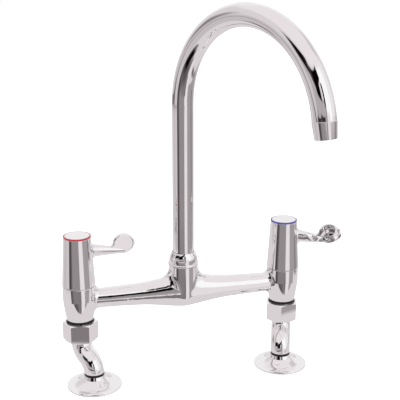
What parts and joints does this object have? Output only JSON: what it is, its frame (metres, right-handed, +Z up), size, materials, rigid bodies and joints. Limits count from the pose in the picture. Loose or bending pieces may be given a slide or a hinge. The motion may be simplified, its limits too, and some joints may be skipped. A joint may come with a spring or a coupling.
{
  "type": "bridge kitchen mixer tap",
  "caption": "Chrome deck-mounted bridge sink mixer with a tall swan-neck swivel spout, conical lever handles and cranked pillar legs.",
  "frame": {"origin": "on the deck's upper face, midway between the two tap holes", "axes": "+X along the bridge from the hot valve to the cold valve, -Y towards the user, +Z up along the spout's stem and the tails"},
  "size_m": [0.2641, 0.1747, 0.4086],
  "materials": {
    "chrome": "polished chrome plate on brass",
    "brass": "machined, unplated",
    "ceramic": "lapped alumina ceramic, off-white",
    "rubber": "black moulded rubber",
    "nylon": "moulded white nylon or acetal",
    "spring_steel": "stainless steel",
    "red_index": "red hot-side ring",
    "blue_index": "blue-violet cold-side ring"
  },
  "bodies": {
    "bridge": {"bridge_body": "chrome", "spout_bearing_ring": "nylon", "spout_collar_nut": "chrome", "hot_cartridge_housing": "brass", "hot_seat_seal": "rubber", "hot_fixed_disc": "ceramic", "hot_union_nut": "chrome", "hot_union_washer": "rubber", "cold_cartridge_housing": "brass", "cold_seat_seal": "rubber", "cold_fixed_disc": "ceramic", "cold_union_nut": "chrome", "cold_union_washer": "rubber"},
    "spout": {"spout_tube": "chrome", "spout_spigot": "brass", "spout_o_rings": "rubber", "spout_nozzle": "chrome", "flow_straightener": "nylon"},
    "hot_lever": {"hot_handle": "chrome", "hot_handle_screw": "spring_steel", "hot_index_ring": "red_index", "hot_index_cap": "chrome", "hot_spindle": "brass", "hot_moving_disc": "ceramic", "hot_spindle_o_rings": "rubber", "hot_spindle_clip": "spring_steel"},
    "hot_leg": {"hot_cranked_leg": "chrome", "hot_foot_flange": "chrome", "hot_deck_washer": "rubber", "hot_tail": "brass", "hot_top_hat_washer": "nylon", "hot_backnut": "brass"},
    "cold_lever": {"cold_handle": "chrome", "cold_handle_screw": "spring_steel", "cold_index_ring": "blue_index", "cold_index_cap": "chrome", "cold_spindle": "brass", "cold_moving_disc": "ceramic", "cold_spindle_o_rings": "rubber", "cold_spindle_clip": "spring_steel"},
    "cold_leg": {"cold_cranked_leg": "chrome", "cold_foot_flange": "chrome", "cold_deck_washer": "rubber", "cold_tail": "brass", "cold_top_hat_washer": "nylon", "cold_backnut": "brass"}
  },
  "joints": [
    {"name": "spout_swivel", "type": "hinge", "parent": "bridge", "child": "spout", "pos_m": [-0.00122, 0.01833, 0.11], "axis": [0, 0, 1], "continuous": true},
    {"name": "hot_lever_turn", "type": "hinge", "parent": "bridge", "child": "hot_lever", "pos_m": [-0.09911, 0.01833, 0.11], "axis": [0, 0, 1], "range_deg": [0, 90]},
    {"name": "cold_lever_turn", "type": "hinge", "parent": "bridge", "child": "cold_lever", "pos_m": [0.09667, 0.01833, 0.11], "axis": [0, 0, 1], "range_deg": [0, 90]},
    {"name": "hot_leg_swing", "type": "hinge", "parent": "bridge", "child": "hot_leg", "pos_m": [-0.09911, 0.01833, 0.045], "axis": [0, 0, 1], "continuous": true},
    {"name": "cold_leg_swing", "type": "hinge", "parent": "bridge", "child": "cold_leg", "pos_m": [0.09667, 0.01833, 0.045], "axis": [0, 0, 1], "continuous": true}
  ]
}
